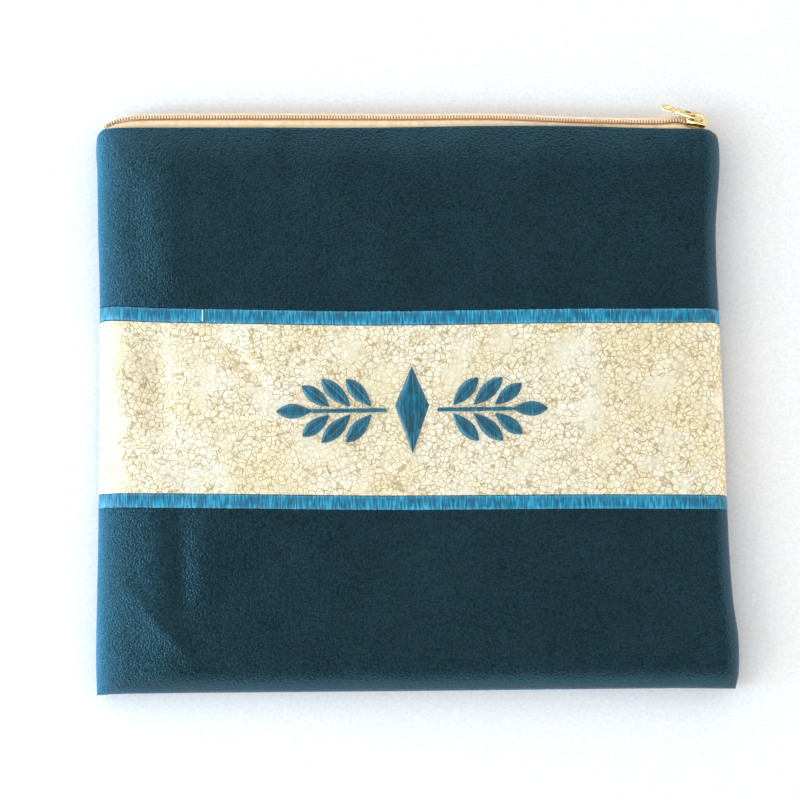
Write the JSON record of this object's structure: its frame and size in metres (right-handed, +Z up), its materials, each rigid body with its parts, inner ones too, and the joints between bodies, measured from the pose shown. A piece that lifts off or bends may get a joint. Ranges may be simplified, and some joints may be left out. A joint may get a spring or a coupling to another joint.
{
  "type": "tallit bag",
  "caption": "Flat zipped pouch with dark panels, a pale foil band between satin-stitched borders, a stitched leaf ornament and a coil zip.",
  "frame": {"origin": "under the middle of the bag's box, on the surface that it lies on", "axes": "+X along the zip to its closed end, +Y from the bottom seam to the zip, +Z up out of the front"},
  "size_m": [0.329, 0.3028, 0.0152],
  "materials": {
    "teal_leather": "dark teal faux leather with a fine pebble grain and a soft sheen",
    "foil_leather": "cream faux leather with a pale gold crackle foil",
    "teal_thread": "glossy teal satin stitch",
    "zip_tape": "beige woven zip tape",
    "zip_coil": "beige nylon zip coil",
    "gold_metal": "pale gold plated metal"
  },
  "bodies": {
    "bag": {"front_upper_panel": "teal_leather", "front_upper_border": "teal_thread", "front_centre_band": "foil_leather", "front_lower_border": "teal_thread", "front_lower_panel": "teal_leather", "back_panel": "teal_leather", "zip_tape_front": "zip_tape", "zip_tape_back": "zip_tape", "zip_chain": "zip_coil", "zip_slider": "gold_metal", "ornament_lozenge": "teal_thread", "ornament_stem_left": "teal_thread", "ornament_leaf_left_1": "teal_thread", "ornament_leaf_left_2": "teal_thread", "ornament_leaf_left_3": "teal_thread", "ornament_leaf_left_4": "teal_thread", "ornament_leaf_left_5": "teal_thread", "ornament_leaf_left_6": "teal_thread", "ornament_leaf_left_7": "teal_thread", "ornament_stem_right": "teal_thread", "ornament_leaf_right_1": "teal_thread", "ornament_leaf_right_2": "teal_thread", "ornament_leaf_right_3": "teal_thread", "ornament_leaf_right_4": "teal_thread", "ornament_leaf_right_5": "teal_thread", "ornament_leaf_right_6": "teal_thread", "ornament_leaf_right_7": "teal_thread"},
    "puller": {"zip_puller": "gold_metal"}
  },
  "joints": [
    {"name": "puller_swing", "type": "hinge", "parent": "bag", "child": "puller", "pos_m": [0.14852, 0.14488, 0.00971], "axis": [0.165, 0.6617, -0.7314], "range_deg": [-3, 167]}
  ]
}
